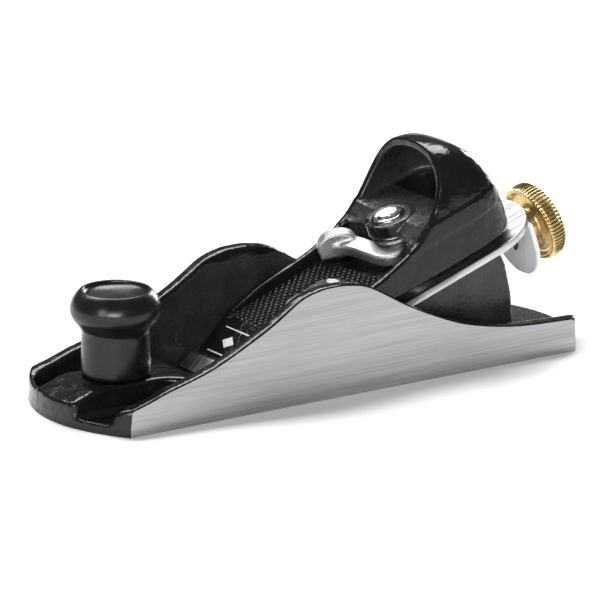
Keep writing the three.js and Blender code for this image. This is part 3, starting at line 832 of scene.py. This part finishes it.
# ---- Lever cap ---------------------------------------------------------------------------------
CAP_HALF = 21.6
NOSE_HALF = 19.5
CAP_WALL = 2.7
KEYHOLE = SCREW - 6.5                       # the big end of the screw's keyhole
HEAD_ROOM = 6.4                             # radius that the screw's head passes through
HOOD_TOP = 39.2
SPRING = 17.0
ROUND_S = 91.4
RIM = [(26, 9.2), (31, 10.2), (39, 11.2), (55, 12.1), (65, 14), (71.8, 16), (75.6, 18), (78.3, 20),
       (80.6, 22), (82.6, 24), (86, 28), (88.6, 32), (90.8, 36), (91.4, 38.5), (91.8, 44)]
BACK = [(89, 40.6), (95.5, 37.8), (101, 33), (105.2, 27.4), (108.6, 21.4), (111.2, 15), (112.7, 9.5),
        (113, 5)]
SHELF = (15.2, 19.0)
TONGUE_TOP = 8.0
TONGUE_REAR = 68.8                          # runs under the cam lever's arm, clear of its hub


def arch(half, top):
    return [(half, -5)] + arc(0, SPRING, half, top - SPRING, 0, 180, 60) + [(-half, -5)]


def cap_plan(half, nose):
    side = spline([(5, nose), (24, nose), (30, nose + 0.25), (38, half - 0.4), (46, half), (60, half)], 5)
    round_end = arc(ROUND_S, 0, half, half, 90, -90, 40)
    return side + round_end + [(s, -y) for s, y in reversed(side)]


def cap_back(inset):
    curve = spline([(s - inset, h - 0.6 * inset) for s, h in BACK], 6)
    return [(-20, -8), (-20, 60), (60, 60), (78, 42 - inset)] + curve + [(113 - inset, -8)]


def cap_front():
    """The side view below the rim: nose, tongue and flanges, and the skirt's lower edge."""
    flange = [(10.9, 2.5), (22.6, 7.5), (24, 8.35)]
    return flange + spline(RIM, 6) + [(140, 44), (140, 6), (112, 5.4), (104, 4.4), (26, 4.4), (22, 2.5)]


def cap_field(g):
    s, y, h = g.axes
    side = np.abs(y)
    shell = merge_cut(outline_field(cap_back(0), s, h), outline_field(cap_plan(CAP_HALF, NOSE_HALF), s, y), 9)
    shell = merge_cut(shell, outline_field(arch(CAP_HALF, HOOD_TOP), y, h), 7)
    front = outline_field(cap_front(), s, h)
    outside = both(shell, front, 0.75)
    inner = merge_cut(outline_field(cap_back(2.9), s, h),
                      outline_field(cap_plan(CAP_HALF - CAP_WALL, NOSE_HALF - CAP_WALL), s, y), 8)
    inner = merge_cut(inner, outline_field(arch(CAP_HALF - CAP_WALL, HOOD_TOP - CAP_WALL), y, h), 6)
    hollow = np.maximum(inner, np.minimum(TONGUE_TOP - h, TONGUE_REAR - s))
    hollow = np.maximum(hollow, 23.8 - s)
    cap = less(outside, hollow, 0.75)
    shelf_front = 74.6 - 0.012 * y * y
    shelf = np.maximum(np.maximum(shelf_front - s, slab(h, *SHELF)), outside + 0.3)
    cap = merge(cap, shelf, 1.6)
    web = np.maximum(np.maximum(slab(s, 74.6, 78), 14.8 - side), np.maximum(h - SHELF[1], outside + 0.3))
    cap = merge(cap, np.maximum(web, 4.6 - h), 1.0)
    boss = both(round_bar(s, y, PIVOT, 0, 7.5), slab(h, SHELF[0], 19.6), 0.6)
    cap = merge(cap, boss, 1.0)
    cap = less(cap, np.maximum(slot_field(s, y, KEYHOLE, SCREW, HEAD_ROOM), 6 - h), 0.5)
    cap = np.maximum(cap, -slot_field(s, y, KEYHOLE, SCREW, 3.5) + 0 * h)
    cap = np.maximum(cap, -round_bar(s, y, KEYHOLE, 0, HEAD_ROOM) + 0 * h - np.maximum(h - 30, 0))
    cap = less(cap, np.maximum(round_bar(s, y, PIVOT, 0, 5.0), slab(h, 18.4, 25)), 0.3)
    return less(cap, np.maximum(round_bar(s, y, PIVOT, 0, 2.6), slab(h, 10, 25)), 0.1)


def lever_cap():
    grid = Grid((9.4, -22.8, 1.4), (114.2, 22.8, 39.8), 0.4)
    piece = cast("lever_cap_casting", cap_field(grid), grid, BED_TO_ROW)
    sharpen(piece, 60)
    settle_piece(piece, "cap", "cap_enamel", [ENAMEL, CASTING], "lever_cap")
    for face in piece.data.polygons:
        s, y, h = on_bed(face.center / MM)
        facing = on_bed(face.center / MM + face.normal) - Vector((s, y, h))
        from_axis = Vector((s - ROUND_S, y, h - SPRING))
        under_hood = s > 72 and facing.dot(from_axis) < 0
        on_shelf = 72 < s < 90 and abs(y) < CAP_HALF - 4 and h < SHELF[1] + 1.5
        if under_hood or on_shelf:
            face.material_index = 1
    return piece


def grip_studs():
    """The tongue's grip: small pyramids in a diamond pattern."""
    verts = []
    faces = []
    pitch = 1.22
    for i in range(30):
        s = 25.9 + pitch * i
        for j in range(-15, 16):
            y = pitch * (2 * j + i % 2)
            at_end = s > 60.3 + 0.022 * y * y
            near_hole = math.hypot(s - min(max(s, KEYHOLE), SCREW), y) < HEAD_ROOM + 1.2
            if abs(y) > 16.6 or at_end or near_hole:
                continue
            start = len(verts)
            for reach, height in ((1.12, -0.2), (1.12, 0.02), (0.5, 0.62), (0.3, 0.72)):
                for k in range(4):
                    a = k * math.pi / 2
                    verts.append((s + reach * math.cos(a), y + reach * math.sin(a), TONGUE_TOP + height))
            for ring in range(3):
                for k in range(4):
                    a = start + 4 * ring + k
                    b = start + 4 * ring + (k + 1) % 4
                    faces.append((a, b, b + 4, a + 4))
            faces.append(tuple(start + k for k in (3, 2, 1, 0)))
            faces.append(tuple(start + 12 + k for k in range(4)))
    piece = add_object("grip_studs", verts, faces, BED_TO_ROW)
    sharpen(piece, 75)
    return settle_piece(piece, "cap", "cap_enamel", [ENAMEL])


def nose_point(s, y, lift):
    rise = (7.5 - 2.5) / (22.6 - 10.9)
    return (s, y, 2.5 + rise * (s - 10.9) + lift)


def nose_marks():
    """Two plain white lines with a row of diamonds between them on the nose."""
    verts = []
    faces = []

    def strip(outline):
        start = len(verts)
        count = len(outline)
        for lift in (-0.12, 0.035):
            for s, y in outline:
                verts.append(nose_point(s, y, lift))
        faces.append(tuple(start + k for k in reversed(range(count))))
        faces.append(tuple(start + count + k for k in range(count)))
        for k in range(count):
            m = (k + 1) % count
            faces.append((start + k, start + m, start + count + m, start + count + k))

    for s in (13.0, 21.2):
        strip([(s - 0.18, -14.5), (s + 0.18, -14.5), (s + 0.18, 14.5), (s - 0.18, 14.5)])
    for y in (-8.5, 0, 8.5):
        strip([(15.2, y), (17.1, y - 2.9), (19.0, y), (17.1, y + 2.9)])
    piece = add_object("nose_marks", verts, faces, BED_TO_ROW)
    edit(piece, lambda mesh: bmesh.ops.recalc_face_normals(mesh, faces=mesh.faces[:]))
    sharpen(piece, 30)
    return settle_piece(piece, "cap", "cap_enamel", [WHITE])


# ---- Cam lever, rivet and washer ---------------------------------------------------------------
def paddle_field(s, y, h):
    """The thumb lobe: a thick upright paddle whose face is turned towards the near side."""
    along = (s - 62.3) * 0.85 - (y - 9.85) * 0.525
    behind = (s - 62.3) * 0.525 + (y - 9.85) * 0.85
    top = arc(0, 13.4, 6.1, 4.3, 0, 180, 30)
    face = [(-5.7, 10), (5.9, 10)] + top
    return both(outline_field(face, along, h + 0 * along), slab(behind, 0, 5), 0.7)


def cam_field(g):
    s, y, h = g.axes
    hub = both(round_bar(s, y, PIVOT, 0, 6.3), slab(h, 2.6, 13.8), 0.5)
    path = spline([(64.8, 10.8), (66.6, 6), (67.6, 0), (68.4, -4.6), (70.2, -7.4), (73.2, -6.2),
                   (PIVOT, -2)], 6)
    rise = 0.12 * (y + 7)
    arm = both(path_field(path, s, y) - 3.1, slab(h - np.clip(rise, 0, 1.6), 8.8, 12.6), 0.9)
    lever = merge(merge(hub, arm, 1.4), paddle_field(s, y, h), 1.6)
    lever = np.maximum(lever, -round_bar(s, y, PIVOT, 0, 2.6) + 0 * h)
    foot = np.maximum(round_bar(s, y, PIVOT, 0, 4.5), h - 4.4)
    return np.maximum(lever, -foot)


def cam_lever():
    grid = Grid((55.6, -11.8, 1.8), (84, 18.6, 19), 0.27)
    piece = cast("cam_lever_casting", cam_field(grid), grid, BED_TO_ROW)
    sharpen(piece, 60)
    return settle_piece(piece, "cam", "rough_nickel", [NICKEL], "cam_lever")


def at_pivot(s):
    return BED_TO_ROW @ Matrix.Translation((s, 0, 0))


def cam_rivet():
    corners = [(0, 3, 0), (3.9, 3, 0.3), (4.2, 3.4, 0.2), (4.2, 4.1, 0.1), (2.3, 4.1, 0.1), (2.3, 18.7, 0.1),
               (4.6, 18.7, 0.1), (4.6, 19.6, 0.3), (4.1, 19.95, 0.3), (3.2, 19.75, 0.6), (2, 19.25, 0.8),
               (0, 19.05, 0)]
    piece = turned("cam_rivet_turned", rounded(corners, 4), at_pivot(PIVOT), 64)
    sharpen(piece, 40)
    return settle_piece(piece, "cap", "bright_steel", [BRIGHT], "cam_rivet")


def cam_washer():
    corners = [(2.6, 14.5, 0), (2.6, 14.1, 0.1), (5.6, 14.1, 0.2), (5.6, 14.9, 0.2), (2.6, 14.9, 0.1),
               (2.6, 14.5, 0)]
    piece = turned("cam_washer_turned", rounded(corners, 3)[:-1], at_pivot(PIVOT), 64, closed=True)
    sharpen(piece, 40)
    return settle_piece(piece, "cap", "bright_steel", [BRIGHT], "cam_washer")


def cap_screw():
    corners = [(0, -10, 0), (2.6, -10, 0.2), (3, -9.5, 0.2), (3, 6.3, 0.1), (6, 6.3, 0.2), (6, 8.8, 0.5),
               (5.2, 9.55, 0.6), (2.5, 9.8, 1), (0, 9.8, 0)]
    piece = turned("cap_screw_turned", rounded(corners, 5), at_pivot(SCREW), 80)
    carve(piece, (SCREW - 0.7, -8, 8.6), (SCREW + 0.7, 8, 12), BED_TO_ROW)
    sharpen(piece, 35)
    return settle_piece(piece, "cap_screw", "bright_steel", [BRIGHT], "lever_cap_screw")


# ---- Cutter adjustment -------------------------------------------------------------------------
TAB = 115.0
SHEET = 1.6
THREAD_PITCH = 1.0
TEETH = 64                                  # of the wheel's knurl


def lever_plan():
    side = [(100, 5.2), (104, 5.6), (107.5, 7.6), (111, 10.3), (114, 11.3), (118, 11.5)]
    flank = spline(side, 5)
    return arc(LEVER_PIVOT, 0, 6, 6, 90, 270, 20) + [(s, -y) for s, y in flank] + flank[::-1]


def tab_front():
    side = spline([(11.5, -7), (11.2, -11), (9.6, -15.2), (6.6, -18.6), (3.2, -20.6), (0, -21)], 6)
    return [(11.5, 2)] + side + [(-y, h) for y, h in reversed(side[:-1])] + [(-11.5, 2)]


def lateral_field(g):
    s, y, h = g.axes
    rear = TAB + SHEET
    sheet = both(outline_field(lever_plan(), s, y), slab(h, -1.9, -0.3), 0.25)
    tab = both(outline_field(tab_front(), y, h), slab(s, TAB, rear), 0.3)
    lever = np.maximum(np.minimum(sheet, tab), np.hypot(np.maximum(s - rear + 2.2, 0),
                                                         np.maximum(h + 2.5, 0)) - 2.2)
    lever = np.maximum(lever, -round_bar(s, y, LEVER_PIVOT, 0, 2.3) + 0 * h)
    window = np.maximum(slab(s, 87.6, 98.6), np.abs(y) - 2.6) + 0 * h
    lever = np.maximum(lever, -np.maximum(window, -4 - h))
    return np.maximum(lever, -np.maximum(round_bar(y, h, 0, FEED_H, 3.1), 110 - s))


def lateral_lever():
    grid = Grid((67.2, -12.4, -22), (117.6, 12.4, 0.6), 0.26)
    piece = cast("lateral_lever_sheet", lateral_field(grid), grid, BED_TO_ROW)
    sharpen(piece, 50)
    # the sheet's near-white material is a painted reflection of the floor, not a plating colour
    return settle_piece(piece, "lateral", "bright_steel", [PAINTED_REFLECTION_PLATING], "lateral_lever")


def feed_axis(start):
    """Turned pieces on the adjusting screw: their height runs up the slope from start."""
    return BED_TO_ROW @ Matrix.Translation((start, 0, FEED_H)) @ Matrix.Rotation(math.pi / 2, 4, "Y")


def adjusting_wheel():
    hub = TAB + SHEET + 0.3
    corners = [(3.1, hub + 3, 0), (3.1, hub, 0.2), (4.4, hub, 0.3), (4.8, hub + 1, 1), (5.4, 122, 1.2),
               (7, 123, 1.2), (9.5, 122.8, 1), (10.6, 121.5, 0.5), (11.5, 121.5, 0.6), (12.2, 122.6, 1.4),
               (12.2, 125.4, 2), (11.5, 126.8, 0.8), (9.5, 127.2, 0.8), (6.5, 126.4, 0.8),
               (5.6, 127.2, 0.5), (3.1, 127.2, 0.2), (3.1, hub + 3, 0)]
    profile = rounded(corners, 5)[:-1]

    def knurl(angle, radius, height):
        if radius < 11.5:
            return radius
        depth = 0.5 * min(1, (radius - 11.5) / 0.5)
        wave = abs((angle * TEETH / (2 * math.pi)) % 1 * 2 - 1)
        return radius - depth * min(1, 1.6 * (1 - wave))

    piece = turned("wheel_knurled", profile, feed_axis(0), TEETH * 8, knurl, closed=True)
    sharpen(piece, 38)
    return settle_piece(piece, "wheel", "brass", [BRASS], "adjusting_wheel")


def adjusting_screw():
    start = 86.0
    groove = TAB - 1.7
    profile = [(0, start), (2.0, start), (2.3, start + 0.3)]
    profile += [(2.8, s) for s in np.arange(start + 0.5, groove - 0.2, 0.1)]
    profile += [(2.7, groove), (2.2, groove + 0.05), (2.2, groove + 1.35), (2.7, groove + 1.4),
                (2.8, groove + 1.6), (2.8, 127.5), (2.6, 127.8), (2.3, 128), (0, 128)]

    def thread(angle, radius, height):
        if radius < 2.79 or height > groove - 0.8:
            return radius
        turn = (height - angle / (2 * math.pi)) % THREAD_PITCH
        return radius - 0.5 * abs(2 * turn - 1)

    piece = turned("feed_screw_threaded", profile, feed_axis(0), 36, thread)
    return settle_piece(piece, "wheel", "bright_steel", [BRIGHT], "adjusting_screw")


def screw_clip():
    front = TAB - 1.4
    ring = arc(0, 0, 4.8, 4.8, -70, 250, 40) + arc(0, 0, 2.5, 2.5, 250, -70, 30)
    turn = Matrix.Rotation(math.pi / 2, 4, "Y") @ Matrix.Rotation(math.pi / 2, 4, "Z")
    matrix = BED_TO_ROW @ Matrix.Translation((front, 0, FEED_H)) @ turn
    piece = plate("screw_clip_ring", ring, [], 0, 0.8, matrix, 0.12)
    return settle_piece(piece, "wheel", "bright_steel", [BRIGHT], "screw_clip")


def finish_cad_node(node, material, bevel):
    """A CAD node whose shape is right: broken edges and a proper finish."""
    piece = frame["nodes"][node]
    piece.data.materials.clear()
    piece.data.materials.append(material)
    weld = piece.modifiers.new("weld", "WELD")
    weld.merge_threshold = 1e-6
    edge = piece.modifiers.new("edges", "BEVEL")
    edge.width = bevel * MM
    edge.segments = 2
    edge.limit_method = "ANGLE"
    edge.angle_limit = math.radians(40)


# ---- Stage -------------------------------------------------------------------------------------
def aim(thing, target):
    direction = Vector(target) - thing.location
    thing.rotation_euler = direction.to_track_quat("-Z", "Y").to_euler()


def softbox(name, place, target, size, power, tint=(1, 1, 1)):
    light = bpy.data.lights.new(name, "AREA")
    light.shape = "RECTANGLE"
    light.size = size[0]
    light.size_y = size[1]
    light.energy = power
    light.color = tint
    lamp = bpy.data.objects.new(name, light)
    bpy.context.scene.collection.objects.link(lamp)
    lamp.location = place
    aim(lamp, target)
    return lamp


def studio():
    floor = add_object("floor", [(-6, -6, 0), (6, -6, 0), (6, 6, 0), (-6, 6, 0)], [(0, 1, 2, 3)],
                       Matrix.Identity(4))
    floor.data.materials.append(floor_paper())
    world = bpy.data.worlds.new("studio")
    world.use_nodes = True
    world.node_tree.nodes["Background"].inputs["Color"].default_value = (1, 1, 1, 1)
    world.node_tree.nodes["Background"].inputs["Strength"].default_value = 0.12
    bpy.context.scene.world = world
    bpy.context.scene.view_settings.view_transform = "Standard"
    softbox("key", (0.15, 0.75, 1.35), (0, 0, 0), (1.6, 0.8), 40)
    softbox("left", (-1.3, -0.5, 0.45), (0, 0, 0.03), (0.3, 0.7), 5)
    softbox("front", (-1.2, -1.5, 0.5), (0, 0, 0.03), (1.1, 0.4), 24)
    softbox("right", (1.3, 0.7, 0.35), (0.03, 0, 0.04), (0.35, 0.6), 10)


def camera():
    azimuth = math.radians(-34.006)
    elevation = math.radians(16.212)
    centre = Vector((-1.808, 0, 22.289)) * MM
    away = Vector((math.sin(azimuth) * math.cos(elevation), -math.cos(azimuth) * math.cos(elevation),
                   math.sin(elevation)))
    data = bpy.data.cameras.new("camera")
    data.sensor_width = 36
    data.lens = 446.8
    thing = bpy.data.objects.new("camera", data)
    bpy.context.scene.collection.objects.link(thing)
    thing.location = centre + 2.2 * away
    aim(thing, centre)
    bpy.context.scene.camera = thing


# ---- Assembly ----------------------------------------------------------------------------------
camera()
studio()
body_casting()
front_knob()
cutter_blade()
lever_cap()
grip_studs()
nose_marks()
cam_lever()
cam_rivet()
cam_washer()
cap_screw()
lateral_lever()
adjusting_wheel()
adjusting_screw()
screw_clip()
finish_cad_node("knob_stud", BRIGHT, 0.3)
finish_cad_node("lateral_pivot", BRIGHT, 0.2)
finish_cad_node("adjusting_slide", NICKEL, 0.25)
